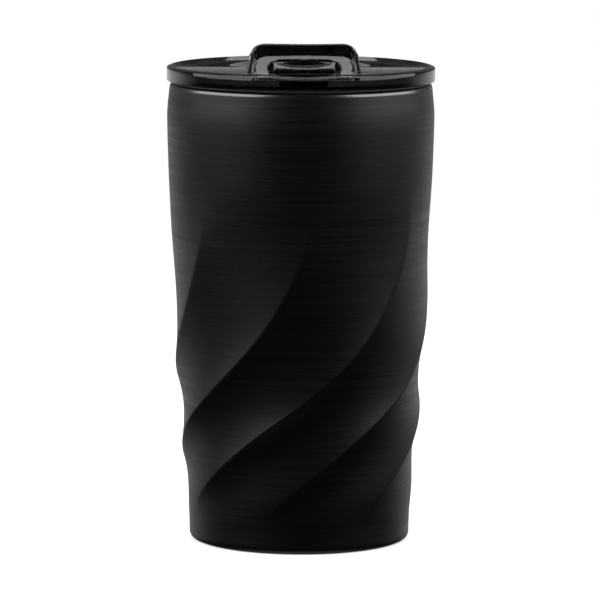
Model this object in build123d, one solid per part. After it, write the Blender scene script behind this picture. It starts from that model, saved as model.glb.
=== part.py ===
"""Insulated tumbler with a push-on flip-lever lid.

Units are millimetres. The tumbler stands on z = 0 with its axis on Z, and the lever's grip is at -Y, the
side one drinks from. Angles round the wall are in degrees, 0 at the front (-Y) and growing towards +X.
"""
from build123d import *
from math import cos, radians, sin, tan
import os

# ---------------------------------------------------------------- cup, driving sizes
CUP_H = 145.5            # floor to the steel lip
SHELL_T = 0.7            # outer wall
LINER_T = 0.6            # inner wall
FOOT_ROUND = 2.0         # rounding at the bottom edge
LIP_ROUND = 1.5          # height of the rounding at the top edge
FOOT_R_IN = 30.5         # inside of the turned-in foot ring
LIP_SPLIT_R = 40.2       # where the shell's lip meets the liner's
MOUTH_R = 38.6           # inside of the mouth
MOUTH_DEPTH = 18.0       # straight stretch that the lid plugs into
LINER_FLOOR_Z = 9.0      # inside floor of the cup
LINER_FLOOR_R = 31.9     # inside radius just above the floor
LINER_CORNER = 7.0       # rounding between floor and wall
LINER_RIM_H = 1.2        # height of the rolled rim

# The wall's mean radius by height, the turn of a ridge by height, and the ridges' height by height.
WALL_RADIUS = [(145.5, 41.6), (135.0, 42.35), (95.0, 40.85), (57.0, 38.8), (28.0, 36.6), (0.0, 35.0)]
RIDGE_TURN = [(112.0, 3.0), (95.0, 0.0), (76.0, -13.0), (63.0, -27.5), (50.0, -48.0), (37.0, -74.0),
              (24.0, -99.0), (14.0, -117.0), (6.0, -121.0)]
RIDGE_HEIGHT = [(118.0, 0.0), (95.0, 1.2), (70.0, 1.4), (50.0, 1.5), (30.0, 1.4), (18.0, 0.7), (8.0, 0.0)]
RIDGES = 7
PITCH = 360.0 / RIDGES
VALLEY = 0.46            # share of the pitch from a ridge to the bottom of the valley after it
RIDGE_MEAN = 0.45        # share of a ridge's height that lies inside the mean radius
SPLINE_STEPS = 8         # points per pitch in one section of the wall

# ---------------------------------------------------------------- base
PLATE_T = 0.8
PLATE_R = 32.6
PLATE_DOME_R = 24.0
PLATE_DOME_Z = 3.0
COVER_T = 0.5
COVER_R = 30.3
COVER_Z = 0.15
COVER_STEP = (22.3, 0.05)      # radius and depth of the shallow recess under the cover
SEAL_R = 1.6
GETTER_X = 12.0
GETTER_R = 3.5
PELLET_H = 1.6
CLIP_T = 0.4
CLIP_FLANGE = (2.0, 0.3)       # width and thickness of the clip's flange
CLIP_HOLE = (1.9, 0.5)         # radius of the ring of holes, and of each hole

# ---------------------------------------------------------------- lid
LID_R = 42.5
BAND_Z = 146.2           # underside of the rim band
BAND_TOP_Z = 150.5       # outer edge of the rim, where the band turns in to the crest
BAND_EDGE = 0.35         # chamfer of the band's two edges
CREST_Z = 151.0          # top of the rim
CREST_R = 41.2
CREST_FLAT = 0.5         # width of the crest's flat
DECK_Z = 149.4           # top of the recessed deck
DECK_R = 39.4
DECK_T = 2.0
WING_X = 13.0            # a low wedge crosses the deck on both sides of the hinge, outside this half width
WING_Y = 3.6             # its front edge
WING_Z = 150.0           # its ridge
WING_FALL = 11.0         # run over which it falls back to the deck
PLUG_R = 37.2
PLUG_T = 1.8
PLUG_PLATE_T = 1.4
PLUG_BOTTOM_Z = 134.5
BAND_BORE_R = 37.6       # the band's inner wall, round the plug's plate
GASKET_Z = (136.5, 143.5)
GASKET_GROOVE = 0.6
GASKET_LIP_R = 38.45

HOLE_Y = -28.0           # drinking hole
HOLE_L = 14.0
HOLE_W = 8.0
HOLE_RUN = 0.4           # the plug's hole is wider all round than the deck's
VENT_Y = -11.0
VENT_R = 1.5
NOTCH_X = 15.25          # half width of the sip notch in the rim

# ---------------------------------------------------------------- hinge and lever
HINGE_Y = 5.0
HINGE_Z = 152.4
BARREL_R = 2.7
PIN_R = 1.25
PIN_RUN = 0.05           # radial clearance of the lever on its pin
EAR_X = (9.2, 11.7)
BARREL_X = 8.9
ARM_Z = (150.9, 153.5)
ARM_HALF_X = (8.8, 12.5, 14.5)     # half width at the barrel, near the grip and at the grip
ARM_Y = (-3.0, -26.0, -33.0)       # where each of those widths ends
STOPPER_STEM_R = 2.0
STOPPER_HEAD = (2.9, 0.9)      # radius and height
STOPPER_GAP = 0.3              # run all round in the drinking hole
STOPPER_DEPTH = 3.6
STOPPER_TAPER = 10             # degrees
FLANGE_LAP = 1.5               # the stopper's flange is wider than the hole by this much all round
FLANGE_Z = DECK_Z + 0.25
PIP_TIP_R = 0.7
PIP_STEM_R = 1.0
PIP_FLANGE_R = 2.4
PIP_HEAD = (1.9, 0.8)

GRIP_TOP_Z = 160.2
GRIP_FOOT_X = 17.7       # half widths of the grip at its foot, its shoulder and its flat top
GRIP_SHOULDER_X = 16.7
GRIP_TOP_X = 11.2
GRIP_SHOULDER_Z = 156.2
GRIP_BOTTOM_Z = 151.2
GRIP_BACK_R = (31.6, 33.4)     # back of the grip at its foot and at its top
LIP_X = 15.0             # half width, radius, underside and edge rounding of the lip in the sip notch
LIP_R = 42.3
LIP_Z = 149.6
LIP_EDGE = 1.1
SEAT_TOP = (35.7, 156.9) # the conical seat rises from the lip in to this radius and height
SEAT_X = 16.5            # half width of the seat between the cheeks
SEAT_BACK = (12.2, -34.0)      # where the bay's bowed back wall bends into its corners
SEAT_BACK_SLOPE = 0.284
SEAT_CORNER_Y = -37.0    # where the corners have turned to the sides
SEAT_INNER_R = 33.8
HOLLOW_X = 11.3          # oval hollow in the seat
HOLLOW_Z = (149.9, 152.6, 155.3)   # its bottom, widest height and flat roof
HOLLOW_ROOF_X = 7.8
HOLLOW_FLOOR = (9.2, 150.4)
LEDGE_X = 9.6            # thumb ledge inside the hollow
LEDGE_BACK_Y = -36.0
LEDGE_R = 39.5
LEDGE_EDGE_Z = 152.8
LEDGE_TILT = 30.0


def between(stations, z):
    """Smooth value at height z through (height, value) stations, held level past both ends."""
    if z >= stations[0][0]:
        return stations[0][1]
    if z <= stations[-1][0]:
        return stations[-1][1]
    last = len(stations) - 1

    def slope(i):
        if i in (0, last):
            return 0.0
        (above, high), (below, low) = stations[i - 1], stations[i + 1]
        return (low - high) / (below - above)

    i = next(i for i in range(last) if stations[i + 1][0] <= z)
    (z0, v0), (z1, v1) = stations[i], stations[i + 1]
    h = z1 - z0
    t = (z - z0) / h
    ease = t * t * (3 - 2 * t)
    return v0 + (v1 - v0) * ease + h * t * (1 - t) * (slope(i) * (1 - t) - slope(i + 1) * t)


def wall_radius(z, share, inset):
    """Radius of the swirled wall; share runs 0 to 1 from one ridge to the next."""
    if share < VALLEY:
        rise = (1 - share / VALLEY) ** 2
    else:
        rise = ((share - VALLEY) / (1 - VALLEY)) ** 2
    return between(WALL_RADIUS, z) + between(RIDGE_HEIGHT, z) * (rise - RIDGE_MEAN) - inset


def wall_point(z, ridge, share, inset):
    turn = radians(between(RIDGE_TURN, z) + (ridge + share) * PITCH)
    r = wall_radius(z, share, inset)
    return Vector(r * sin(turn), -r * cos(turn), z)


def wall_section(z, inset):
    """Closed outline of the wall at height z: one spline from each ridge to the next."""
    step = 1e-4
    edges = []
    for ridge in range(RIDGES):
        points = [wall_point(z, ridge, i / SPLINE_STEPS, inset) for i in range(SPLINE_STEPS + 1)]
        leave = wall_point(z, ridge, step, inset) - points[0]
        arrive = points[-1] - wall_point(z, ridge, 1 - step, inset)
        edges.append(Edge.make_spline(points, tangents=[leave.normalized(), arrive.normalized()]))
    return Wire(edges)


def swirl_body(inset):
    """Solid inside the swirled wall, from the floor to the lip, set in from the outer surface."""
    low, high, count = 8.0, 118.0, 20
    twisted = [low + (high - low) * i / (count - 1) for i in range(count)]
    heights = [0.0, 4.0] + twisted + [126.0, 134.0, 141.0, CUP_H]
    return Solid.make_loft([wall_section(z, inset) for z in heights])


def disc(r, z0, z1):
    return Pos(0, 0, (z0 + z1) / 2) * Cylinder(r, z1 - z0)


def turned(outline):
    """Solid of revolution about Z from a closed outline drawn in (radius, height)."""
    return revolve(Plane.XZ * make_face(outline), Axis.Z)


def spun(*points):
    return turned(Polyline(*points, close=True))


def lip_envelope():
    """Turned form that only touches the wall at the lip, where its arc rounds the top edge over."""
    wide, edge_r = 60, WALL_RADIUS[0][1] + 0.25
    edge, top = (edge_r, CUP_H - LIP_ROUND), (edge_r - LIP_ROUND, CUP_H)
    return turned(Polyline(top, (0, CUP_H), (0, -1), (wide, -1), (wide, edge[1]), edge)
                  + Spline(edge, top, tangents=[(-0.2, 1), (-1, 0)]))


def outer_shell():
    body = swirl_body(0)
    body = body.fillet(FOOT_ROUND, body.edges().filter_by(lambda e: e.center().Z < 0.01))
    body &= lip_envelope()
    hollow = swirl_body(SHELL_T) & disc(60, SHELL_T, CUP_H - SHELL_T)
    return body - hollow - disc(FOOT_R_IN, -1, 2) - disc(LIP_SPLIT_R, CUP_H - 2, CUP_H + 1)


def inner_liner():
    """Seamless inner cup: rolled mouth, straight plug seat, tapered wall and rounded floor."""
    seat_z = CUP_H - MOUTH_DEPTH
    seat, bend = (MOUTH_R, seat_z), (LINER_FLOOR_R, LINER_FLOOR_Z + LINER_CORNER)
    floor = (LINER_FLOOR_R - LINER_CORNER, LINER_FLOOR_Z)
    taper = (bend[0] - seat[0], bend[1] - seat[1])

    def bowl(grow, top):
        low = floor[1] - grow
        return turned(Polyline((floor[0], low), (0, low), (0, top), (seat[0] + grow, top),
                               (seat[0] + grow, seat[1]), (bend[0] + grow, bend[1]))
                      + Spline((bend[0] + grow, bend[1]), (floor[0], low), tangents=[taper, (-1, 0)]))

    rim = disc(LIP_SPLIT_R, CUP_H - LINER_RIM_H, CUP_H)
    return bowl(LINER_T, CUP_H) + rim - bowl(0, CUP_H + 1)


def base_plate():
    """Pressed closing disc: a flat rim welded on the foot ring and a raised centre with a small hole."""
    rise = PLATE_DOME_Z - SHELL_T
    plate = spun((0, PLATE_DOME_Z), (PLATE_DOME_R, PLATE_DOME_Z), (PLATE_DOME_R + rise, SHELL_T),
                 (PLATE_R, SHELL_T), (PLATE_R, SHELL_T + PLATE_T),
                 (PLATE_DOME_R + rise + 0.4, SHELL_T + PLATE_T), (PLATE_DOME_R + 0.4, PLATE_DOME_Z + PLATE_T),
                 (0, PLATE_DOME_Z + PLATE_T))
    return plate - disc(SEAL_R, PLATE_DOME_Z - 1, PLATE_DOME_Z + PLATE_T + 1)


def base_cover():
    """Thin outer disc, pressed in just above the floor, with a shallow round step."""
    step_r, step_depth = COVER_STEP
    cover = disc(COVER_R, COVER_Z, COVER_Z + COVER_T)
    return cover - disc(step_r, 0, COVER_Z + step_depth)


def exhaust_seal():
    bead = disc(SEAL_R, PLATE_DOME_Z - 0.5, PLATE_DOME_Z + PLATE_T)
    return bead.fillet(0.3, bead.edges().group_by(Axis.Z)[0])


def getter_pellet():
    z = PLATE_DOME_Z + PLATE_T
    return Pos(GETTER_X, 0, 0) * disc(GETTER_R, z, z + PELLET_H)


def getter_clip():
    """Small perforated cap over the tablet, with a flange spot-welded to the base plate."""
    z = PLATE_DOME_Z + PLATE_T
    flange, flange_t = CLIP_FLANGE
    ring_r, hole_r = CLIP_HOLE
    cap = disc(GETTER_R + CLIP_T, z, z + PELLET_H + CLIP_T) + disc(GETTER_R + flange, z, z + flange_t)
    cap -= disc(GETTER_R, z - 1, z + PELLET_H)
    for turn in range(0, 360, 60):
        cap -= Rot(0, 0, turn) * Pos(ring_r, 0, 0) * disc(hole_r, z, z + 3)
    return Pos(GETTER_X, 0, 0) * cap


def slot_hole(grow, z0, z1):
    """Upright oval prism of the drinking hole, grown all round."""
    face = SlotOverall(HOLE_L + 2 * grow, HOLE_W + 2 * grow)
    return extrude(Pos(0, HOLE_Y, z0) * face, z1 - z0)


def lid_cover():
    """Rim band, recessed deck, hinge ears, sip notch and the two holes."""
    under = DECK_Z - DECK_T
    cover = spun((LID_R, BAND_TOP_Z - BAND_EDGE), (LID_R, BAND_Z + BAND_EDGE), (LID_R - BAND_EDGE, BAND_Z),
                 (BAND_BORE_R, BAND_Z), (BAND_BORE_R, under), (0, under), (0, DECK_Z), (DECK_R, DECK_Z),
                 (CREST_R - CREST_FLAT, CREST_Z), (CREST_R, CREST_Z), (LID_R - BAND_EDGE, BAND_TOP_Z))
    cover += raised_wings()
    notch = Pos(0, -40, DECK_Z + 5) * Box(2 * NOTCH_X, 20, 10)
    cover -= notch
    for side in (-1, 1):
        cover += hinge_ear(side)
    cover -= slot_hole(0, DECK_Z - 5, DECK_Z + 1)
    cover -= Pos(0, VENT_Y, 0) * disc(VENT_R, DECK_Z - 5, DECK_Z + 1)
    return cover


def raised_wings():
    """Low wedges across the deck on both sides of the hinge: a step in front, a long fall behind."""
    ridge_y, low = WING_Y + WING_Z - DECK_Z, DECK_Z - 0.2
    wedge = make_face(Polyline((WING_Y, low), (WING_Y, DECK_Z), (ridge_y, WING_Z),
                               (ridge_y + WING_FALL, DECK_Z), (ridge_y + WING_FALL, low), close=True))
    both = extrude(Plane.YZ.offset(WING_X) * wedge, LID_R) + extrude(Plane.YZ.offset(-WING_X) * wedge, -LID_R)
    return both & disc(DECK_R + 0.9, DECK_Z - 1, WING_Z + 1)


def hinge_ear(side):
    """Upright ear with a rounded head and sloping flanks, drilled for the pin."""
    width = EAR_X[1] - EAR_X[0]
    foot, flank = DECK_Z - 0.5, 3.6
    head = Pos(0, HINGE_Y, HINGE_Z) * Rot(0, 90, 0) * Cylinder(BARREL_R, width)
    stem = extrude(make_face(Polyline(
        (0, HINGE_Y - BARREL_R - flank * 0.3, foot), (0, HINGE_Y + BARREL_R + flank * 0.3, foot),
        (0, HINGE_Y + BARREL_R, HINGE_Z), (0, HINGE_Y - BARREL_R, HINGE_Z), close=True)),
        width / 2, dir=(1, 0, 0), both=True)
    bore = Pos(0, HINGE_Y, HINGE_Z) * Rot(0, 90, 0) * Cylinder(PIN_R, width + 1)
    return Pos(side * (EAR_X[0] + EAR_X[1]) / 2, 0, 0) * (head + stem - bore)


def lid_plug():
    """Inner part of the lid: a plate welded under the deck and a skirt grooved for the gasket."""
    top = DECK_Z - DECK_T
    plug = disc(BAND_BORE_R - 0.05, top - PLUG_PLATE_T, top) + disc(PLUG_R, PLUG_BOTTOM_Z, top)
    plug -= disc(PLUG_R - PLUG_T, PLUG_BOTTOM_Z - 1, top - PLUG_PLATE_T)
    groove = disc(PLUG_R + 1, *GASKET_Z) - disc(PLUG_R - GASKET_GROOVE, *GASKET_Z)
    plug -= groove
    plug -= slot_hole(HOLE_RUN, top - 5, top + 1)
    plug -= Pos(0, VENT_Y, 0) * disc(VENT_R, top - 5, top + 1)
    return plug


def lid_gasket():
    """Silicone ring: a flange between band and steel lip, and a sleeve with two sealing lips."""
    inner = PLUG_R + 0.02
    sleeve = spun((inner, BAND_Z - 0.6), (inner, GASKET_Z[0] - 0.6), (inner + 0.5, GASKET_Z[0] - 0.6),
                  (inner + 0.5, GASKET_Z[0] + 1.2), (GASKET_LIP_R, GASKET_Z[0] + 2.0),
                  (inner + 0.5, GASKET_Z[0] + 2.6), (inner + 0.5, GASKET_Z[1] - 2.6),
                  (GASKET_LIP_R, GASKET_Z[1] - 1.8), (inner + 0.5, GASKET_Z[1] - 1.2),
                  (inner + 0.5, BAND_Z - 0.6), (LID_R - 1.2, BAND_Z - 0.6), (LID_R - 1.2, BAND_Z),
                  (BAND_BORE_R + 0.05, BAND_Z), (BAND_BORE_R + 0.05, BAND_Z - 0.25), (inner, BAND_Z - 0.25))
    key = disc(inner, GASKET_Z[0] + 0.1, GASKET_Z[1] - 0.1)
    key -= disc(PLUG_R - GASKET_GROOVE + 0.02, GASKET_Z[0] - 1, GASKET_Z[1] + 1)
    return sleeve + key


def grip_block():
    """Outer form of the grip: seen from the front a low arch with leaning sides, following the rim."""
    shoulder, top = (GRIP_SHOULDER_X, GRIP_SHOULDER_Z), (GRIP_TOP_X, GRIP_TOP_Z)
    shoulder_left, top_left = (-shoulder[0], shoulder[1]), (-top[0], top[1])
    arch = make_face(
        Polyline(shoulder_left, (-GRIP_FOOT_X, GRIP_BOTTOM_Z), (GRIP_FOOT_X, GRIP_BOTTOM_Z), shoulder)
        + Spline(shoulder, top, tangents=[(-0.15, 1), (-1, 0)])
        + Line(top, top_left)
        + Spline(top_left, shoulder_left, tangents=[(-1, 0), (-0.15, -1)])
    )
    block = extrude(Plane.XZ.offset(20) * arch, 30)
    foot_r, top_r = GRIP_BACK_R
    behind = spun((0, GRIP_BOTTOM_Z - 1), (foot_r, GRIP_BOTTOM_Z - 1), (foot_r, GRIP_BOTTOM_Z + 2),
                  (top_r, GRIP_TOP_Z + 1), (0, GRIP_TOP_Z + 1))
    return (block & disc(CREST_R, GRIP_BOTTOM_Z - 1, GRIP_TOP_Z + 1)) - behind


def seat_space():
    """The space a thumb enters: a rounded bay, open to the front, with a back wall bowed like the rim."""
    back, corner = SEAT_BACK, (SEAT_X, SEAT_CORNER_Y)
    back_left, corner_left = (-back[0], back[1]), (-corner[0], corner[1])
    bay = make_face(
        ThreePointArc(back_left, (0, -SEAT_TOP[0]), back)
        + Spline(back, corner, tangents=[(1, SEAT_BACK_SLOPE), (0, -1)])
        + Polyline(corner, (SEAT_X, -50), (-SEAT_X, -50), corner_left)
        + Spline(corner_left, back_left, tangents=[(0, 1), (1, -SEAT_BACK_SLOPE)])
    )
    return extrude(Pos(0, 0, GRIP_BOTTOM_Z - 5) * bay, 20)


def seat_solid():
    """Conical seat between the cheeks, on the lip that fills the rim's sip notch."""
    side, crest = (LIP_R, CREST_Z - LIP_EDGE), (LIP_R - LIP_EDGE, CREST_Z)
    ring = turned(
        Polyline(crest, SEAT_TOP, (SEAT_INNER_R, SEAT_TOP[1]), (SEAT_INNER_R, LIP_Z), (LIP_R, LIP_Z), side)
        + RadiusArc(side, crest, -LIP_EDGE)
    )
    upper = Pos(0, -38, GRIP_BOTTOM_Z + 10) * Box(2 * SEAT_X + 0.8, 20, 20)
    lower = Pos(0, -38, GRIP_BOTTOM_Z - 5) * Box(2 * LIP_X, 20, 10)
    return ring & (upper + lower)


def thumb_hollow():
    """Oval hollow sunk straight in from the front, with a flat roof."""
    low, mid, high = HOLLOW_Z
    roof, floor, wide = (HOLLOW_ROOF_X, high), HOLLOW_FLOOR, (HOLLOW_X, mid)
    roof_left, floor_left, wide_left = ((-x, z) for x, z in (roof, floor, wide))
    oval = make_face(
        Line(roof_left, roof)
        + Spline(roof, wide, floor, tangents=[(1, -0.2), (-1, -0.3)])
        + ThreePointArc(floor, (0, low), floor_left)
        + Spline(floor_left, wide_left, roof_left, tangents=[(-1, 0.3), (1, 0.2)])
    )
    return extrude(Plane.XZ.offset(-LEDGE_BACK_Y) * oval, 20)


def thumb_ledge():
    """Ledge in the hollow: a top that falls to the front, and an upright front on the rim's curve."""
    back_z = LEDGE_EDGE_Z + (LEDGE_R + LEDGE_BACK_Y) * tan(radians(LEDGE_TILT))
    side = make_face(Polyline(
        (LEDGE_BACK_Y + 1, LIP_Z), (LEDGE_BACK_Y + 1, back_z), (LEDGE_BACK_Y, back_z),
        (-LEDGE_R, LEDGE_EDGE_Z), (-LEDGE_R, LIP_Z), close=True))
    bar = extrude(Plane.YZ.offset(-LEDGE_X) * side, 2 * LEDGE_X)
    return bar & disc(LEDGE_R, LIP_Z - 1, back_z + 1)


def lever_arm():
    """Flat arm that widens from the barrel to the grip."""
    (near, mid, far), (near_y, mid_y, far_y) = ARM_HALF_X, ARM_Y
    outline = make_face(
        Polyline((-near, near_y), (-near, HINGE_Y), (near, HINGE_Y), (near, near_y))
        + Spline((near, near_y), (mid, mid_y), (far, far_y), tangents=[(0, -1), (0.35, -1)])
        + Line((far, far_y), (-far, far_y))
        + Spline((-far, far_y), (-mid, mid_y), (-near, near_y), tangents=[(0.35, 1), (0, 1)])
    )
    arm = extrude(Pos(0, 0, ARM_Z[0]) * outline, ARM_Z[1] - ARM_Z[0])
    barrel = Pos(0, HINGE_Y, HINGE_Z) * Rot(0, 90, 0) * Cylinder(BARREL_R, 2 * BARREL_X)
    return arm + barrel


def flip_lever():
    lever = (grip_block() - seat_space()) + seat_solid() + lever_arm()
    lever = lever - thumb_hollow() + (thumb_ledge() & seat_solid())
    lever -= Pos(0, HINGE_Y, HINGE_Z) * Rot(0, 90, 0) * Cylinder(PIN_R + PIN_RUN, 60)
    lever -= Pos(0, HOLE_Y, 0) * disc(STOPPER_STEM_R, ARM_Z[0] - 1, ARM_Z[1] + 1)
    lever -= Pos(0, VENT_Y, 0) * disc(PIP_STEM_R, ARM_Z[0] - 1, ARM_Z[1] + 1)
    return lever


def hinge_pin():
    pin = Pos(0, HINGE_Y, HINGE_Z) * Rot(0, 90, 0) * Cylinder(PIN_R, 2 * EAR_X[1])
    return pin.chamfer(0.25, None, pin.edges().filter_by(GeomType.CIRCLE))


def drink_stopper():
    """Silicone stopper: tapered oval plug, flange on the deck side and a button snapped through the arm."""
    head_r, head_h = STOPPER_HEAD
    hole = SlotOverall(HOLE_L - 2 * STOPPER_GAP, HOLE_W - 2 * STOPPER_GAP)
    taper = extrude(Pos(0, HOLE_Y, FLANGE_Z) * hole, STOPPER_DEPTH, dir=(0, 0, -1), taper=STOPPER_TAPER)
    lap = SlotOverall(HOLE_L + 2 * FLANGE_LAP, HOLE_W + 2 * FLANGE_LAP)
    flange = extrude(Pos(0, HOLE_Y, FLANGE_Z) * lap, ARM_Z[0] - FLANGE_Z)
    button = disc(STOPPER_STEM_R, ARM_Z[0], ARM_Z[1]) + disc(head_r, ARM_Z[1], ARM_Z[1] + head_h)
    button = button.fillet(0.4, button.edges().group_by(Axis.Z)[-1])
    return taper + flange + Pos(0, HOLE_Y, 0) * button


def vent_stopper():
    """Small silicone pip: tapered tip, flange under the arm and a head pulled through it."""
    head_r, head_h = PIP_HEAD
    tip = spun((0, DECK_Z - 1.2), (PIP_TIP_R, DECK_Z - 1.2), (PIP_STEM_R, ARM_Z[0]), (PIP_STEM_R, ARM_Z[1]),
               (0, ARM_Z[1]))
    pip = tip + disc(PIP_FLANGE_R, FLANGE_Z, ARM_Z[0]) + disc(head_r, ARM_Z[1], ARM_Z[1] + head_h)
    pip = pip.fillet(0.35, pip.edges().group_by(Axis.Z)[-1])
    return Pos(0, VENT_Y, 0) * pip


NODES = (outer_shell, inner_liner, base_plate, base_cover, exhaust_seal, getter_pellet, getter_clip,
         lid_cover, lid_plug, lid_gasket, flip_lever, hinge_pin, drink_stopper, vent_stopper)

os.makedirs("parts", exist_ok=True)
for make in NODES:
    shape = make()
    name = make.__name__
    export_step(shape, "parts/" + name + ".step")
    print(name, round(shape.volume), "mm3")
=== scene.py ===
# %% [markdown]
# # An insulated tumbler with a flip-lever lid
# This lesson dresses a finished engineering model of a double-walled steel tumbler. The engineering model
# fixes every size and every moving body. Blender adds what the eye wants: a finely divided swirled wall,
# softened plastic edges, brushed steel, smoky plastic and studio light.

# %% Load the engineering model
from math import cos, pi, radians, sin

import bmesh
import bpy
from mathutils import Matrix, Vector


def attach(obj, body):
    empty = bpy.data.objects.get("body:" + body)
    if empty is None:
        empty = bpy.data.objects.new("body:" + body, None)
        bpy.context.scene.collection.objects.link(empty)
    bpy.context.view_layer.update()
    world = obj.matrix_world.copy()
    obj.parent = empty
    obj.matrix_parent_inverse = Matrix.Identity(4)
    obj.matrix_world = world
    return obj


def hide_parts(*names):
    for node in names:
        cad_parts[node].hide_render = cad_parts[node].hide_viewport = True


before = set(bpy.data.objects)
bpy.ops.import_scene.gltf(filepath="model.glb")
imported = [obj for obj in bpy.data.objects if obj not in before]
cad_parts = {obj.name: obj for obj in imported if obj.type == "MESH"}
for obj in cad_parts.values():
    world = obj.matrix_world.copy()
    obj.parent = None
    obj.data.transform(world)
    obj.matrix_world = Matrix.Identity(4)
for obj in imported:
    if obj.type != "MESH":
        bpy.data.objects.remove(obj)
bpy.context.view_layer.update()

MM = 0.001
TINY = 1e-7                # metres; closer than this counts as level
print("engineering model:", sorted(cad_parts))

# %% [markdown]
# ## Helpers
# Most pieces of a tumbler are turned, so one helper draws a flat outline, rounds its corners with a vertex
# bevel, and spins it about the upright axis. Rounding the outline before the spin is cheaper and cleaner
# than bevelling thousands of edges after it.

# %% Turned bodies and finished pieces
WELD = 0.002               # points closer than this, in millimetres, become one after a spin


def turned(outline, steps=192):
    """Spins an outline of (radius, height, corner rounding), in millimetres, about Z."""
    bm = bmesh.new()
    corners = [bm.verts.new((r * MM, 0, z * MM)) for r, z, _ in outline]
    bm.faces.new(corners)
    for corner, (_, _, rounding) in zip(corners, outline):
        if rounding:
            bmesh.ops.bevel(bm, geom=[corner], offset=rounding * MM, offset_type="OFFSET", segments=5,
                            profile=0.5, affect="VERTICES", clamp_overlap=True, material=-1)
    bmesh.ops.delete(bm, geom=bm.faces[:], context="FACES_ONLY")
    bmesh.ops.spin(bm, geom=bm.verts[:] + bm.edges[:], cent=(0, 0, 0), axis=(0, 0, 1), angle=2 * pi,
                   steps=steps, use_merge=True, use_duplicate=False)
    bmesh.ops.remove_doubles(bm, verts=bm.verts[:], dist=WELD * MM)
    bmesh.ops.dissolve_degenerate(bm, edges=bm.edges[:], dist=WELD / 2 * MM)
    bmesh.ops.recalc_face_normals(bm, faces=bm.faces[:])
    return bm


def soften(bm, edges, offset):
    """Rounds edges by an offset in millimetres."""
    bmesh.ops.bevel(bm, geom=edges, offset=offset * MM, offset_type="OFFSET", segments=3, profile=0.5,
                    affect="EDGES", clamp_overlap=True, material=-1)


def mesh_object(name, bm):
    """Puts a finished bmesh into the scene as an object."""
    mesh = bpy.data.meshes.new(name)
    bm.to_mesh(mesh)
    bm.free()
    obj = bpy.data.objects.new(name, mesh)
    bpy.context.scene.collection.objects.link(obj)
    return obj


def baked(obj):
    """Swaps an object's mesh for what its modifiers make of it."""
    graph = bpy.context.evaluated_depsgraph_get()
    made = bpy.data.meshes.new_from_object(obj.evaluated_get(graph))
    obj.modifiers.clear()
    obj.data = made
    return obj


def carve(obj, cutter):
    """Cuts one object out of another, and removes the cutter."""
    step = obj.modifiers.new("carve", "BOOLEAN")
    step.operation, step.solver, step.object = "DIFFERENCE", "EXACT", cutter
    baked(obj)
    bpy.data.objects.remove(cutter)
    return obj


def finish_piece(obj, material, body, nodes, sharp_deg=38):
    """Smooth shading that keeps hard edges, one material, and the piece's place among the bodies."""
    obj.data.materials.clear()
    obj.data.materials.append(material)
    obj.data.shade_smooth()
    obj.data.set_sharp_from_angle(angle=radians(sharp_deg))
    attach(obj, body)
    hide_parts(*nodes)
    print(obj.name, len(obj.data.polygons), "faces")


def upright_oval(name, y, length, width, z0, z1, segments=48):
    """Straight-sided oval prism across X, for holes and stoppers, in millimetres."""
    bm = bmesh.new()
    made = bmesh.ops.create_circle(bm, cap_ends=True, segments=segments, radius=width / 2 * MM)
    stretch = (length - width) / 2 * MM
    for v in made["verts"]:
        v.co.x += stretch if v.co.x > TINY else -stretch if v.co.x < -TINY else 0
        v.co.y += y * MM
        v.co.z = z0 * MM
    top = bmesh.ops.extrude_face_region(bm, geom=bm.faces[:])
    lifted = [g for g in top["geom"] if isinstance(g, bmesh.types.BMVert)]
    bmesh.ops.translate(bm, verts=lifted, vec=(0, 0, (z1 - z0) * MM))
    bmesh.ops.recalc_face_normals(bm, faces=bm.faces[:])
    return mesh_object(name, bm)


# %% [markdown]
# ## Materials
# Every finish is a small node network on Object coordinates. A stretched noise gives the brushing, because
# real brushing is thousands of short scratches that all run one way. The same noise moves the roughness, so
# highlights break up the way they do on the real surface.

# %% Small node helpers
def new_material(name):
    """A node material, its tree and its shader."""
    mat = bpy.data.materials.new(name)
    mat.use_nodes = True
    tree = mat.node_tree
    shader = tree.nodes["Principled BSDF"]
    return mat, tree, shader


def grain(tree, scale, detail=4.0, roughness=0.6, noise_scale=1.0):
    """Noise whose three scales stretch it into streaks; returns its factor socket."""
    place = tree.nodes.new("ShaderNodeTexCoord")
    mapping = tree.nodes.new("ShaderNodeMapping")
    mapping.inputs["Scale"].default_value = scale
    noise = tree.nodes.new("ShaderNodeTexNoise")
    noise.inputs["Scale"].default_value = noise_scale
    noise.inputs["Detail"].default_value = detail
    noise.inputs["Roughness"].default_value = roughness
    tree.links.new(place.outputs["Object"], mapping.inputs["Vector"])
    tree.links.new(mapping.outputs["Vector"], noise.inputs["Vector"])
    return noise.outputs["Fac"]


def spread(tree, value, low, high, from_low=0.3, from_high=0.7):
    """Stretches a noise value to a range."""
    node = tree.nodes.new("ShaderNodeMapRange")
    node.inputs["From Min"].default_value = from_low
    node.inputs["From Max"].default_value = from_high
    node.inputs["To Min"].default_value = low
    node.inputs["To Max"].default_value = high
    tree.links.new(value, node.inputs["Value"])
    return node.outputs["Result"]


def tint(tree, value, dark, light):
    """Colour that runs from dark to light with a noise value."""
    ramp = tree.nodes.new("ShaderNodeValToRGB")
    ramp.color_ramp.elements[0].position, ramp.color_ramp.elements[1].position = 0.3, 0.7
    ramp.color_ramp.elements[0].color = (*dark, 1)
    ramp.color_ramp.elements[1].color = (*light, 1)
    tree.links.new(value, ramp.inputs["Fac"])
    return ramp.outputs["Color"]


def bump(tree, shader, value, strength, distance):
    """Lets a noise value tilt the surface a little."""
    node = tree.nodes.new("ShaderNodeBump")
    node.inputs["Strength"].default_value = strength
    node.inputs["Distance"].default_value = distance
    tree.links.new(value, node.inputs["Height"])
    tree.links.new(node.outputs["Normal"], shader.inputs["Normal"])


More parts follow.
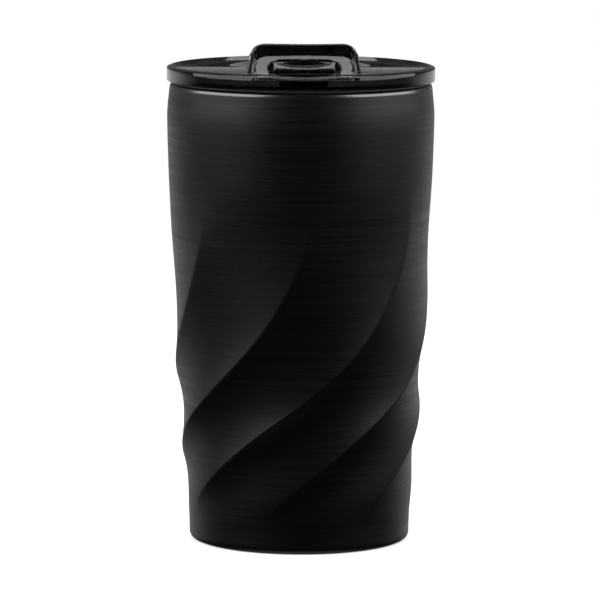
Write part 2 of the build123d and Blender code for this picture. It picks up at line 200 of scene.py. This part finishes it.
# %% [markdown]
# The outer wall is stainless steel, brushed round and round on a lathe and then coated black. The coat is
# thin, so the brushing still shows as level streaks, and the highlights stretch up and down across them.
# Over the lip the coat is rubbed thin and the steel shows through, a smoother grey: the height of the
# point chooses between the two finishes.

# %% Coated steel
def mixed(tree, kind, share, first, second):
    """Blends two colours or two values."""
    node = tree.nodes.new("ShaderNodeMix")
    node.data_type = kind
    sockets = {"RGBA": ("A_Color", "B_Color", "Result_Color"),
               "FLOAT": ("A_Float", "B_Float", "Result_Float")}
    low, high, out = sockets[kind]
    inputs = {i.identifier: i for i in node.inputs}
    tree.links.new(share, inputs["Factor_Float"])
    for socket, value in ((inputs[low], first), (inputs[high], second)):
        if isinstance(value, bpy.types.NodeSocket):
            tree.links.new(value, socket)
        else:
            socket.default_value = value
    return next(o for o in node.outputs if o.identifier == out)


def height_step(tree, low, high):
    """0 below one height, 1 above another, in millimetres."""
    place = tree.nodes.new("ShaderNodeTexCoord")
    axes = tree.nodes.new("ShaderNodeSeparateXYZ")
    tree.links.new(place.outputs["Object"], axes.inputs["Vector"])
    return spread(tree, axes.outputs["Z"], 0.0, 1.0, low * MM, high * MM)


def coated_steel(name, bright=1.0, coat_top=144.15):
    """Black coat over brushing; above coat_top, in millimetres, the steel shows."""
    mat, tree, shader = new_material(name)
    fine = grain(tree, (60, 60, 7000), detail=6, roughness=0.7)
    broad = grain(tree, (9, 9, 1500), detail=4)
    shader.inputs["Metallic"].default_value = 1.0
    dark = tuple(c * bright for c in (0.031, 0.031, 0.032))
    light = tuple(c * bright for c in (0.055, 0.055, 0.0565))
    bare = height_step(tree, coat_top - 0.1, coat_top + 0.1)
    steel = tint(tree, fine, (0.14, 0.138, 0.135), (0.20, 0.197, 0.194))
    coat = tint(tree, fine, dark, light)
    tree.links.new(mixed(tree, "RGBA", bare, coat, steel), shader.inputs["Base Color"])
    rough = mixed(tree, "FLOAT", bare, spread(tree, broad, 0.39, 0.48), 0.24)
    tree.links.new(rough, shader.inputs["Roughness"])
    shader.inputs["Anisotropic"].default_value = 0.35
    around = tree.nodes.new("ShaderNodeTangent")
    around.direction_type, around.axis = "RADIAL", "Z"
    tree.links.new(around.outputs["Tangent"], shader.inputs["Tangent"])
    bump(tree, shader, fine, 0.2, 0.00002)
    return mat


# %% Bright steel
def bright_steel(name, colour, rough, scale=(60, 60, 4200)):
    """Bare steel, brushed along the short side of the scale."""
    mat, tree, shader = new_material(name)
    fine = grain(tree, scale, detail=4)
    shader.inputs["Metallic"].default_value = 1.0
    shade = tuple(c * 0.82 for c in colour)
    tree.links.new(tint(tree, fine, shade, colour), shader.inputs["Base Color"])
    tree.links.new(spread(tree, fine, rough - 0.06, rough + 0.08), shader.inputs["Roughness"])
    bump(tree, shader, fine, 0.2, 0.00002)
    return mat


# %% [markdown]
# The lid is clear plastic with a smoky dye. On the real plastic thick places read nearly black and thin edges
# read grey. The shader's tint is applied at the surface and doesn't know how thick a wall is; absorption in a
# volume would do it properly but renders slowly. The lever is given a lighter tint than the cover, and that
# is
# painted light: it lightens the lever's sloping seat towards the grey sheen the overhead light puts on it.
# A faint noise in the roughness stands for the hairlines that lids get in the dishwasher.

# %% Smoky plastic
def smoky_plastic(name, dark, light):
    """Clear plastic with a dark dye."""
    mat, tree, shader = new_material(name)
    cloud = grain(tree, (1, 1, 1), detail=3, noise_scale=90)
    hair = grain(tree, (900, 160, 300), detail=5, roughness=0.7)
    tree.links.new(tint(tree, cloud, dark, light), shader.inputs["Base Color"])
    tree.links.new(spread(tree, hair, 0.02, 0.07), shader.inputs["Roughness"])
    shader.inputs["IOR"].default_value = 1.54
    shader.inputs["Transmission Weight"].default_value = 1.0
    return mat


# %% Moulded black plastic and silicone
def matte_black(name, dark, light, rough, grain_size):
    """Dull surface with fine pores and slightly uneven colour."""
    mat, tree, shader = new_material(name)
    pores = grain(tree, (1, 1, 1), detail=6, noise_scale=1 / grain_size)
    patches = grain(tree, (1, 1, 1), detail=2, noise_scale=60)
    tree.links.new(tint(tree, patches, dark, light), shader.inputs["Base Color"])
    tree.links.new(spread(tree, pores, rough - 0.08, rough + 0.1), shader.inputs["Roughness"])
    bump(tree, shader, pores, 0.3, 0.00003)
    return mat


COATED = coated_steel("coated_steel")
LINER = bright_steel("liner_steel", (0.66, 0.65, 0.63), 0.26)
PIN = bright_steel("pin_steel", (0.74, 0.74, 0.74), 0.16, scale=(4200, 80, 80))
SMOKY = smoky_plastic("smoky_plastic", (0.011, 0.011, 0.012), (0.018, 0.018, 0.020))
# The lever's lighter tint is painted sheen: it lightens the sloping seat towards the grey of the overhead
# light.
SMOKY_PAINTED_SHEEN = smoky_plastic("smoky_plastic_painted_sheen", (0.030, 0.030, 0.032), (0.045, 0.045, 0.048))
PLUG = matte_black("plug_plastic", (0.010, 0.010, 0.011), (0.018, 0.018, 0.019), 0.42, 0.0006)
SILICONE = matte_black("silicone", (0.014, 0.014, 0.014), (0.026, 0.026, 0.026), 0.62, 0.0004)
BASE = coated_steel("base_steel", bright=0.9)
print("materials:", [m.name for m in bpy.data.materials])

# %% [markdown]
# ## The swirled outer wall
# The real wall is a steel tube pressed outwards into a mould with seven twisted ridges. Between two ridges
# the wall is a shallow bay. The mesh follows the same plan: a circle of points is extruded up ring by ring,
# and each ring is turned and scaled by the wall's own formula, so every ridge lies on one line of edges and
# stays crisp without any extra cuts.

# %% Wall formula
CUP_H, SHELL_T, RIDGES = 145.5, 0.7, 7
VALLEY, RIDGE_MEAN = 0.46, 0.45   # where a bay is deepest, and the share of the height taken off all round
WALL_RADIUS = [(145.5, 41.6), (135.0, 42.35), (95.0, 40.85), (57.0, 38.8), (28.0, 36.6), (0.0, 35.0)]
RIDGE_TURN = [(112.0, 3.0), (95.0, 0.0), (76.0, -13.0), (63.0, -27.5), (50.0, -48.0), (37.0, -74.0),
              (24.0, -99.0), (14.0, -117.0), (6.0, -121.0)]
RIDGE_HEIGHT = [(118.0, 0.0), (95.0, 1.2), (70.0, 1.4), (50.0, 1.5), (30.0, 1.4), (18.0, 0.7), (8.0, 0.0)]


def between(stations, z):
    """Smooth value at height z through (height, value) stations."""
    if z >= stations[0][0]:
        return stations[0][1]
    if z <= stations[-1][0]:
        return stations[-1][1]
    last = len(stations) - 1

    def slope(i):
        if i in (0, last):
            return 0.0
        (above, high), (below, low) = stations[i - 1], stations[i + 1]
        return (low - high) / (below - above)

    i = next(i for i in range(last) if stations[i + 1][0] <= z)
    (z0, v0), (z1, v1) = stations[i], stations[i + 1]
    h = z1 - z0
    t = (z - z0) / h
    ease = t * t * (3 - 2 * t)
    return v0 + (v1 - v0) * ease + h * t * (1 - t) * (slope(i) * (1 - t) - slope(i + 1) * t)


def wall_radius(z, share):
    """Radius of the outer surface; share runs 0 to 1 from one ridge to the next."""
    rise = (1 - share / VALLEY) ** 2 if share < VALLEY else ((share - VALLEY) / (1 - VALLEY)) ** 2
    return between(WALL_RADIUS, z) + between(RIDGE_HEIGHT, z) * (rise - RIDGE_MEAN)


print("plain wall radius:", {z: between(WALL_RADIUS, z) for z in (0, 57, 95, 145.5)})

# %% Ring by ring
FOOT_IN, FOOT_ROUND, LIP_ROUND, LIP_INSET, LIP_IN = 30.5, 2.0, 1.5, 1.1, 40.2
ARC_STEPS = 6            # of each rounding
COLUMNS = 42             # between one ridge and the next


def ring_plan():
    """(height, inset from the outer surface, fixed radius or None) of each ring, foot to lip and back."""
    plan = [(0.0, 0.0, FOOT_IN)]
    for i in range(ARC_STEPS + 1):
        a = i / ARC_STEPS * pi / 2
        plan.append((FOOT_ROUND * (1 - cos(a)), FOOT_ROUND * (1 - sin(a)), None))
    plan += [(z, 0.0, None) for z in (3.0, 5.0)]
    plan += [(6.0 + i, 0.0, None) for i in range(113)]
    plan += [(z, 0.0, None) for z in (121, 124, 128, 132, 136, 139, 141.5, 143)]
    for i in range(ARC_STEPS + 1):
        a = i / ARC_STEPS * pi / 2
        plan.append((CUP_H - LIP_ROUND * (1 - sin(a)), LIP_INSET * (1 - cos(a)), None))
    plan += [(CUP_H, 0.0, LIP_IN), (CUP_H - SHELL_T, 0.0, LIP_IN)]
    plan += [(CUP_H - SHELL_T - 0.6 - 4.5 * i, SHELL_T, None) for i in range(32)]
    plan += [(SHELL_T, 2.4, None), (SHELL_T, 0.0, FOOT_IN)]
    return plan


def shape_ring(verts, turn_of, height, inset, fixed):
    """Moves one ring's points to where the wall's formula wants them."""
    for v in verts:
        ridge_share = v[turn_of]
        turn = radians(between(RIDGE_TURN, height) + ridge_share * 360 / RIDGES)
        r = fixed if fixed else wall_radius(height, ridge_share % 1.0) - inset
        v.co = Vector((r * sin(turn), -r * cos(turn), height)) * MM


def shell_skin():
    """Outer wall: one ring of points extruded ring by ring, and closed on itself."""
    bm = bmesh.new()
    turn_of = bm.verts.layers.float.new("turn")
    count = RIDGES * COLUMNS
    first = bmesh.ops.create_circle(bm, cap_ends=False, segments=count, radius=1)["verts"]
    for i, v in enumerate(first):
        v[turn_of] = i / COLUMNS
    plan = ring_plan()
    shape_ring(first, turn_of, *plan[0])
    start = bm.edges[:]
    ring = start
    for spot in plan[1:]:
        grown = bmesh.ops.extrude_edge_only(bm, edges=ring)["geom"]
        ring_verts = [g for g in grown if isinstance(g, bmesh.types.BMVert)]
        new = set(ring_verts)
        ring = [g for g in grown if isinstance(g, bmesh.types.BMEdge) and all(v in new for v in g.verts)]
        shape_ring(ring_verts, turn_of, *spot)
    bmesh.ops.bridge_loops(bm, edges=start + ring)
    bmesh.ops.recalc_face_normals(bm, faces=bm.faces[:])
    return mesh_object("shell_skin", bm)


print(len(ring_plan()), "rings of", RIDGES * COLUMNS, "points")
finish_piece(shell_skin(), COATED, "cup", ["outer_shell"], sharp_deg=60)

# %% [markdown]
# ## Inner cup and base
# The inner cup is one drawn piece of bare stainless steel with a rolled mouth. Underneath, a thin coated disc
# hides the weld. Both are turned bodies.

# %% Inner cup
MOUTH_R, LINER_T, SEAT_Z = 38.6, 0.6, 127.5
FLOOR_R, FLOOR_Z, FLOOR_CORNER, RIM_H = 31.9, 9.0, 7.0, 1.2


def liner_cup():
    """Inner cup: floor, taper, straight mouth and rolled rim."""
    inside = [(0, FLOOR_Z, 0), (FLOOR_R - LINER_T, FLOOR_Z, FLOOR_CORNER), (MOUTH_R, SEAT_Z, 0.8),
              (MOUTH_R, CUP_H, 0.45)]
    outside = [(LIP_IN, CUP_H, 0.25), (LIP_IN, CUP_H - RIM_H, 0), (MOUTH_R + LINER_T, CUP_H - RIM_H, 0.2),
               (MOUTH_R + LINER_T, SEAT_Z, 0.8), (FLOOR_R, FLOOR_Z - LINER_T, FLOOR_CORNER),
               (0, FLOOR_Z - LINER_T, 0)]
    return mesh_object("liner_cup", turned(inside + outside, steps=224))


finish_piece(liner_cup(), LINER, "cup", ["inner_liner"])

# %% Base cover
def base_disc():
    """Thin disc with a shallow step pressed into it."""
    low, high, edge, step = 0.15, 0.65, 30.3, 22.3
    outline = [(0, low + 0.2, 0), (step, low + 0.2, 0.1), (step + 0.2, low, 0.1), (edge, low, 0.2),
               (edge, high, 0), (0, high, 0)]
    return mesh_object("base_disc", turned(outline, steps=160))


finish_piece(base_disc(), BASE, "cup", ["base_cover"])

# %% [markdown]
# ## The lid
# The cover is a rim band round a lower deck. The front of the rim is cut down to the deck so that one can
# drink over it, and two ears carry the hinge. It is turned first, and then holes, notch and ears are made
# with booleans, because their edges cross the round form.

# %% Lid cover
LID_R, BAND_Z, BAND_TOP_Z, CREST_Z, CREST_R = 42.5, 146.2, 150.5, 151.0, 41.2
DECK_Z, DECK_R, DECK_T, BAND_BORE_R = 149.4, 39.4, 2.0, 37.6
HOLE_Y, HOLE_L, HOLE_W, VENT_Y, VENT_R = -28.0, 14.0, 8.0, -11.0, 1.5
HINGE_Y, HINGE_Z, BARREL_R, PIN_R, EAR_X = 5.0, 152.4, 2.7, 1.25, (9.2, 11.7)
NOTCH_X, NOTCH_BACK_Y = 15.25, -33.0
PIN_EDGE = 0.25          # rounding of the ears and of the pin's ends
BEYOND = 50.0            # well outside the lid, for cutters
WING_X, WING_Y, WING_Z, WING_FALL = 13.0, 3.6, 150.0, 11.0


def cross_rod(name, radius, x0, x1, segments=48):
    """Round bar along X through the hinge, in millimetres."""
    bm = bmesh.new()
    bmesh.ops.create_cone(bm, cap_ends=True, segments=segments, radius1=radius * MM, radius2=radius * MM,
                          depth=(x1 - x0) * MM, matrix=Matrix.Rotation(pi / 2, 4, "Y"))
    bmesh.ops.translate(bm, verts=bm.verts[:], vec=Vector(((x0 + x1) / 2, HINGE_Y, HINGE_Z)) * MM)
    return mesh_object(name, bm)


def block(name, low, high):
    """Box between two corners, in millimetres."""
    bm = bmesh.new()
    size = Vector(high) - Vector(low)
    made = bmesh.ops.create_cube(bm, size=1)
    bmesh.ops.scale(bm, verts=made["verts"], vec=size * MM)
    bmesh.ops.translate(bm, verts=made["verts"], vec=(Vector(high) + Vector(low)) / 2 * MM)
    return mesh_object(name, bm)


def ear(side):
    """One hinge ear: a rounded head on a spreading foot, softened all round."""
    bm = bmesh.new()
    foot = BARREL_R + 1.1
    outline = [(-foot, DECK_Z - 0.3), (-BARREL_R, HINGE_Z)]
    turns = [pi * i / 16 for i in range(1, 16)]
    outline += [(-BARREL_R * cos(a), HINGE_Z + BARREL_R * sin(a)) for a in turns]
    outline += [(BARREL_R, HINGE_Z), (foot, DECK_Z - 0.3)]
    x0 = EAR_X[0] if side > 0 else -EAR_X[1]
    face = bm.faces.new([bm.verts.new((x0 * MM, (HINGE_Y + y) * MM, z * MM)) for y, z in outline])
    grown = bmesh.ops.extrude_face_region(bm, geom=[face])["geom"]
    moved = [g for g in grown if isinstance(g, bmesh.types.BMVert)]
    bmesh.ops.translate(bm, verts=moved, vec=((EAR_X[1] - EAR_X[0]) * MM, 0, 0))
    bmesh.ops.recalc_face_normals(bm, faces=bm.faces[:])
    soften(bm, [e for e in bm.edges if abs(e.verts[0].co.x - e.verts[1].co.x) < TINY], PIN_EDGE)
    return mesh_object("ear", bm)


def cut_off(bm, point, direction):
    """Removes everything on the side a direction points to, and closes the cut."""
    cut = bmesh.ops.bisect_plane(bm, geom=bm.verts[:] + bm.edges[:] + bm.faces[:],
                                 plane_co=Vector(point) * MM, plane_no=direction,
                                 clear_outer=True)["geom_cut"]
    bmesh.ops.edgeloop_fill(bm, edges=[g for g in cut if isinstance(g, bmesh.types.BMEdge)])


def wing(side):
    """Low wedge across the deck on one side of the hinge: a step in front, a long fall behind."""
    outer = DECK_R + 0.9
    low = DECK_Z - 0.2
    bm = turned([(0, low, 0), (outer, low, 0), (outer, WING_Z, 0), (0, WING_Z, 0)], steps=256)
    cut_off(bm, (side * WING_X, 0, 0), (-side, 0, 0))
    cut_off(bm, (0, WING_Y, DECK_Z), (0, -1, 1))
    fall = Vector((0, WING_Z - DECK_Z, WING_FALL)).normalized()
    cut_off(bm, (0, WING_Y + WING_Z - DECK_Z, WING_Z), fall)
    bmesh.ops.recalc_face_normals(bm, faces=bm.faces[:])
    return mesh_object("wing", bm)


def joined(name, parts):
    """Unites solids into one skin."""
    whole = parts[0]
    whole.name = name
    for part in parts[1:]:
        step = whole.modifiers.new("join", "BOOLEAN")
        step.operation, step.solver, step.object = "UNION", "EXACT", part
        baked(whole)
        bpy.data.objects.remove(part)
    return whole


def lid_cover_shape():
    """Rim and deck in one turning, then wedges, ears, bore, notch and holes."""
    under = DECK_Z - DECK_T
    outline = [(0, under, 0), (BAND_BORE_R, under, 0), (BAND_BORE_R, BAND_Z, 0), (LID_R, BAND_Z, 0.45),
               (LID_R, BAND_TOP_Z, 0.35), (CREST_R, CREST_Z, 0.6), (CREST_R - 0.5, CREST_Z, 0.2),
               (DECK_R, DECK_Z, 0.7), (0, DECK_Z, 0)]
    rim = mesh_object("rim", turned(outline, steps=256))
    cover = joined("lid_top", [rim, wing(-1), wing(1), ear(-1), ear(1)])
    carve(cover, cross_rod("bore", PIN_R + 0.02, -20, 20))
    carve(cover, block("notch", (-NOTCH_X, -BEYOND, DECK_Z), (NOTCH_X, NOTCH_BACK_Y, DECK_Z + 9)))
    carve(cover, upright_oval("hole", HOLE_Y, HOLE_L, HOLE_W, DECK_Z - 6, DECK_Z + 3))
    carve(cover, upright_oval("vent", VENT_Y, 2 * VENT_R, 2 * VENT_R, DECK_Z - 6, DECK_Z + 3,
                              segments=32))
    return cover


finish_piece(lid_cover_shape(), SMOKY, "lid", ["lid_cover"])

# %% Lid plug and gasket
PLUG_R, PLUG_T, PLUG_LOW, PLATE_T = 37.2, 1.8, 134.5, 1.4
GROOVE_LOW, GROOVE_HIGH, GROOVE = 136.5, 143.5, 0.6


def lid_plug_shape():
    """Plate with a skirt that goes into the mouth, and a groove for the gasket."""
    top = DECK_Z - DECK_T - 0.02
    rim, inner, groove = BAND_BORE_R - 0.05, PLUG_R - PLUG_T, PLUG_R - GROOVE
    outline = [(0, top, 0), (rim, top, 0.1), (rim, top - PLATE_T, 0.1), (PLUG_R, top - PLATE_T, 0),
               (PLUG_R, GROOVE_HIGH, 0.1), (groove, GROOVE_HIGH, 0), (groove, GROOVE_LOW, 0),
               (PLUG_R, GROOVE_LOW, 0.1), (PLUG_R, PLUG_LOW, 0.5), (inner, PLUG_LOW, 0.5),
               (inner, top - PLATE_T, 1.2), (0, top - PLATE_T, 0)]
    plug = mesh_object("lid_inner", turned(outline, steps=192))
    carve(plug, upright_oval("hole", HOLE_Y, HOLE_L + 0.8, HOLE_W + 0.8, top - 8, top + 3))
    carve(plug, upright_oval("vent", VENT_Y, 2 * VENT_R, 2 * VENT_R, top - 8, top + 3, segments=32))
    return plug


def gasket_shape():
    """Sleeve with two lips, and a flange that lies between lid and steel lip."""
    inner, sleeve, lip = PLUG_R + 0.02, PLUG_R + 0.52, 38.45
    key, flange = PLUG_R - GROOVE + 0.02, LID_R - 1.2
    outline = [(key, GROOVE_LOW + 0.1, 0), (inner, GROOVE_LOW + 0.1, 0), (inner, GROOVE_LOW - 0.6, 0),
               (sleeve, GROOVE_LOW - 0.6, 0.2), (sleeve, GROOVE_LOW + 1.2, 0.2),
               (lip, GROOVE_LOW + 2.0, 0.12), (sleeve, GROOVE_LOW + 2.6, 0.2),
               (sleeve, GROOVE_HIGH - 2.6, 0.2), (lip, GROOVE_HIGH - 1.8, 0.12),
               (sleeve, GROOVE_HIGH - 1.2, 0.2), (sleeve, BAND_Z - 0.6, 0.15), (flange, BAND_Z - 0.6, 0.2),
               (flange, BAND_Z, 0.2), (BAND_BORE_R + 0.05, BAND_Z, 0), (BAND_BORE_R + 0.05, BAND_Z - 0.25, 0),
               (inner, BAND_Z - 0.25, 0), (inner, GROOVE_HIGH - 0.1, 0), (key, GROOVE_HIGH - 0.1, 0)]
    return mesh_object("gasket_ring", turned(outline, steps=192))


finish_piece(lid_plug_shape(), PLUG, "lid", ["lid_plug"])
finish_piece(gasket_shape(), SILICONE, "lid", ["lid_gasket"])

# %% Hinge pin
def hinge_pin_shape():
    """Round pin as long as the two ears are apart."""
    pin = cross_rod("pin", PIN_R, -EAR_X[1], EAR_X[1], segments=40)
    bm = bmesh.new()
    bm.from_mesh(pin.data)
    soften(bm, [e for e in bm.edges if abs(e.verts[0].co.x - e.verts[1].co.x) < TINY], PIN_EDGE)
    bm.to_mesh(pin.data)
    bm.free()
    return pin


finish_piece(hinge_pin_shape(), PIN, "lid", ["hinge_pin"])

# %% [markdown]
# ## The flip lever
# The lever is one moulding, and a moulding has no knife edges: every corner is rounded by a few tenths of a
# millimetre, and those roundings are what catch the light. The engineering solid has the right form with
# sharp edges, so a copy of it is melted into a fine even skin by a voxel remesh and then relaxed a few
# times. This rounds all the crossing edges at once, where an edge bevel would break up at the corners. Its
# weakness is thin walls: where the grip's cheek is thinner than a voxel it leaves a few stray specks.

# %% Lever
def lever_shape(voxel=0.24, relax=7):
    """A softened copy of the engineering lever; voxel in millimetres, relax in passes."""
    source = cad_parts["flip_lever"]
    bm = bmesh.new()
    bm.from_mesh(source.data)
    bmesh.ops.remove_doubles(bm, verts=bm.verts[:], dist=WELD / 4 * MM)
    lever = mesh_object("lever_moulding", bm)
    remesh = lever.modifiers.new("melt", "REMESH")
    remesh.mode, remesh.voxel_size, remesh.adaptivity = "VOXEL", voxel * MM, 0.0
    baked(lever)
    bm = bmesh.new()
    bm.from_mesh(lever.data)
    for _ in range(relax):
        bmesh.ops.smooth_vert(bm, verts=bm.verts[:], factor=0.5, use_axis_x=True, use_axis_y=True,
                              use_axis_z=True)
    bm.to_mesh(lever.data)
    bm.free()
    return lever


# The lever wears the lighter smoky tint, a painted sheen on its sloping seat.
finish_piece(lever_shape(), SMOKY_PAINTED_SHEEN, "lever", ["flip_lever"], sharp_deg=80)

# %% [markdown]
# ## Silicone stoppers
# Both stoppers are snapped through the arm: a plug below, a flange against the arm and a small head on top.

# %% Drinking stopper and vent stopper
ARM_LOW, ARM_TOP = 150.9, 153.5
STOPPER_SEAT, STOPPER_DEPTH = DECK_Z + 0.25, 3.6
TIP_TAPER = (0.905, 0.83)   # how far the drinking stopper's tip narrows along X and Y


def bevel_rims(obj, offset):
    """Softens the upper and lower rims of an upright prism."""
    bm = bmesh.new()
    bm.from_mesh(obj.data)
    level = [e for e in bm.edges if abs(e.verts[0].co.z - e.verts[1].co.z) < TINY]
    soften(bm, [e for e in level if len(e.link_faces) == 2 and e.calc_face_angle(0) > radians(60)], offset)
    bm.to_mesh(obj.data)
    bm.free()
    return obj


def drink_stopper_shape():
    """Tapered tip, flange, stem and snap head."""
    seat = STOPPER_SEAT
    tip = upright_oval("tip", HOLE_Y, HOLE_L - 0.6, HOLE_W - 0.6, seat - STOPPER_DEPTH, seat + 0.05)
    centre = Vector((0, HOLE_Y * MM, 0))
    for v in tip.data.vertices:
        if v.co.z < (seat - 1) * MM:
            v.co.x *= TIP_TAPER[0]
            v.co.y = centre.y + (v.co.y - centre.y) * TIP_TAPER[1]
    bevel_rims(tip, 0.5)
    flange = bevel_rims(upright_oval("flange", HOLE_Y, HOLE_L + 3, HOLE_W + 3, seat, ARM_LOW), 0.3)
    stem = upright_oval("stem", HOLE_Y, 4.0, 4.0, ARM_LOW - 0.1, ARM_TOP + 0.1)
    head = bevel_rims(upright_oval("head", HOLE_Y, 5.8, 5.8, ARM_TOP, ARM_TOP + 0.9), 0.35)
    return joined("drink_plug", [tip, flange, stem, head])


def vent_stopper_shape():
    """Small pip, flange and snap head."""
    tip = upright_oval("tip", VENT_Y, 1.7, 1.7, DECK_Z - 1.2, ARM_TOP + 0.1, segments=24)
    flange = bevel_rims(upright_oval("flange", VENT_Y, 4.8, 4.8, STOPPER_SEAT, ARM_LOW), 0.2)
    head = bevel_rims(upright_oval("head", VENT_Y, 3.8, 3.8, ARM_TOP, ARM_TOP + 0.8), 0.3)
    return joined("vent_plug", [tip, flange, head])


finish_piece(drink_stopper_shape(), SILICONE, "lever", ["drink_stopper"])
finish_piece(vent_stopper_shape(), SILICONE, "lever", ["vent_stopper"])

# %% [markdown]
# ## Hidden pieces
# The closing plate, the glass bead, the getter tablet and its clip sit inside the sealed space. Their
# engineering shapes are already right, so they only get their own finishes.

# %% Finishes for the sealed pieces
def dress(node, material):
    """Gives an engineering piece a finish."""
    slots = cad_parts[node].data.materials
    slots.clear()
    slots.append(material)


dress("base_plate", LINER)
dress("getter_clip", LINER)
dress("getter_pellet", matte_black("getter_powder", (0.16, 0.15, 0.14), (0.26, 0.25, 0.24), 0.8, 0.0003))
dress("exhaust_seal", matte_black("seal_glass", (0.12, 0.16, 0.14), (0.2, 0.25, 0.22), 0.15, 0.002))
print("dressed: base_plate, getter_clip, getter_pellet, exhaust_seal")

# %% [markdown]
# ## Floor, light and camera
# Black glossy things are lit by what they reflect. Two wide soft boxes at the sides draw the broad soft
# bands on the wall, the dark room in front leaves the black stripe between them, and a large light overhead
# puts the grey on the lever's sloping seat. The floor is a plain pale disc.

# %% Floor
def floor_disc(radius=0.9):
    """Plain pale floor that glossy surfaces don't mirror."""
    bm = bmesh.new()
    bmesh.ops.create_circle(bm, cap_ends=True, segments=128, radius=radius)
    floor = mesh_object("floor", bm)
    mat, tree, shader = new_material("pale_floor")
    cloud = grain(tree, (1, 1, 1), noise_scale=6)
    tree.links.new(tint(tree, cloud, (0.90, 0.90, 0.90), (0.93, 0.93, 0.93)), shader.inputs["Base Color"])
    shader.inputs["Roughness"].default_value = 0.9
    shader.inputs["Emission Color"].default_value = (1, 1, 1, 1)
    shader.inputs["Emission Strength"].default_value = 0.45
    floor.visible_glossy = False
    floor.data.materials.append(mat)
    print("floor radius", radius, "m")


floor_disc()

# %% Studio light
def soft_box(name, azimuth, elevation, distance, width, height, watts):
    """Area light aimed at the middle of the tumbler; azimuth 0 is the camera's side."""
    data = bpy.data.lights.new(name, "AREA")
    data.shape, data.size, data.size_y, data.energy = "RECTANGLE", width, height, watts
    light = bpy.data.objects.new(name, data)
    bpy.context.scene.collection.objects.link(light)
    a, e = radians(azimuth), radians(elevation)
    away = Vector((sin(a) * cos(e), -cos(a) * cos(e), sin(e)))
    target = Vector((0, 0, 0.08))
    light.location = target + away * distance
    light.rotation_euler = (-away).to_track_quat("-Z", "Y").to_euler()
    print(name, "at", [round(c, 2) for c in light.location], "m,", watts, "W")


def ramped(tree, value, low, high, from_low, from_high):
    """Smooth step between two strengths."""
    node = tree.nodes.new("ShaderNodeMapRange")
    node.interpolation_type = "SMOOTHSTEP"
    node.inputs["From Min"].default_value, node.inputs["From Max"].default_value = from_low, from_high
    node.inputs["To Min"].default_value, node.inputs["To Max"].default_value = low, high
    tree.links.new(value, node.inputs["Value"])
    return node.outputs["Result"]


def studio_world(front=0.012, table=0.85, wall=0.13):
    """White behind the tumbler, and a dim room to reflect: dark in front, a bright table edge behind."""
    world = bpy.data.worlds.new("studio")
    bpy.context.scene.world = world
    world.use_nodes = True
    tree = world.node_tree
    tree.nodes.clear()
    output = tree.nodes.new("ShaderNodeOutputWorld")
    place = tree.nodes.new("ShaderNodeTexCoord")
    axes = tree.nodes.new("ShaderNodeSeparateXYZ")
    tree.links.new(place.outputs["Generated"], axes.inputs["Vector"])
    below = ramped(tree, axes.outputs["Z"], table, wall, -0.07, 0.03)
    sunk = ramped(tree, axes.outputs["Z"], 0.05, 1.0, -0.5, -0.12)
    under = ramped(tree, axes.outputs["Z"], 0.6, front, -0.95, -0.75)
    behind = ramped(tree, axes.outputs["Y"], 0.0, 1.0, 0.1, 0.8)
    room = tree.nodes.new("ShaderNodeMath")
    room.operation = "MULTIPLY"
    tree.links.new(below, room.inputs[0])
    tree.links.new(sunk, room.inputs[1])
    level = tree.nodes.new("ShaderNodeMath")
    level.operation = "MULTIPLY_ADD"
    tree.links.new(room.outputs["Value"], level.inputs[0])
    tree.links.new(behind, level.inputs[1])
    tree.links.new(under, level.inputs[2])
    dim, white = tree.nodes.new("ShaderNodeBackground"), tree.nodes.new("ShaderNodeBackground")
    tree.links.new(level.outputs["Value"], dim.inputs["Strength"])
    rays, mix = tree.nodes.new("ShaderNodeLightPath"), tree.nodes.new("ShaderNodeMixShader")
    for shade in (dim, white):
        shade.inputs["Color"].default_value = (1, 1, 1, 1)
    tree.links.new(rays.outputs["Is Camera Ray"], mix.inputs["Fac"])
    tree.links.new(dim.outputs["Background"], mix.inputs[1])
    tree.links.new(white.outputs["Background"], mix.inputs[2])
    tree.links.new(mix.outputs["Shader"], output.inputs["Surface"])


studio_world()
soft_box("left_box", azimuth=-74, elevation=26, distance=1.15, width=1.5, height=1.04, watts=10.4)
soft_box("right_box", azimuth=80, elevation=26, distance=1.15, width=1.5, height=1.04, watts=10.2)
soft_box("top_box", azimuth=0, elevation=86, distance=1.1, width=1.5, height=0.9, watts=15.0)
bpy.context.scene.view_settings.view_transform = "Standard"

# %% Camera
def camera(distance=1.455, azimuth=-1.6, height=0.2666, pitch=7.46, roll=0.25, lens=276.6):
    """Long lens a little above the lid; metres, degrees and millimetres of lens."""
    data = bpy.data.cameras.new("camera")
    data.lens, data.sensor_width = lens, 36.0
    view = bpy.data.objects.new("camera", data)
    bpy.context.scene.collection.objects.link(view)
    a = radians(azimuth)
    view.location = (sin(a) * distance, -cos(a) * distance, height)
    turn = Matrix.Rotation(a, 3, "Z") @ Matrix.Rotation(radians(90 - pitch), 3, "X")
    view.rotation_euler = (turn @ Matrix.Rotation(radians(roll), 3, "Z")).to_euler()
    bpy.context.scene.camera = view
    print("camera at", [round(c, 3) for c in view.location], "lens", lens)


camera()
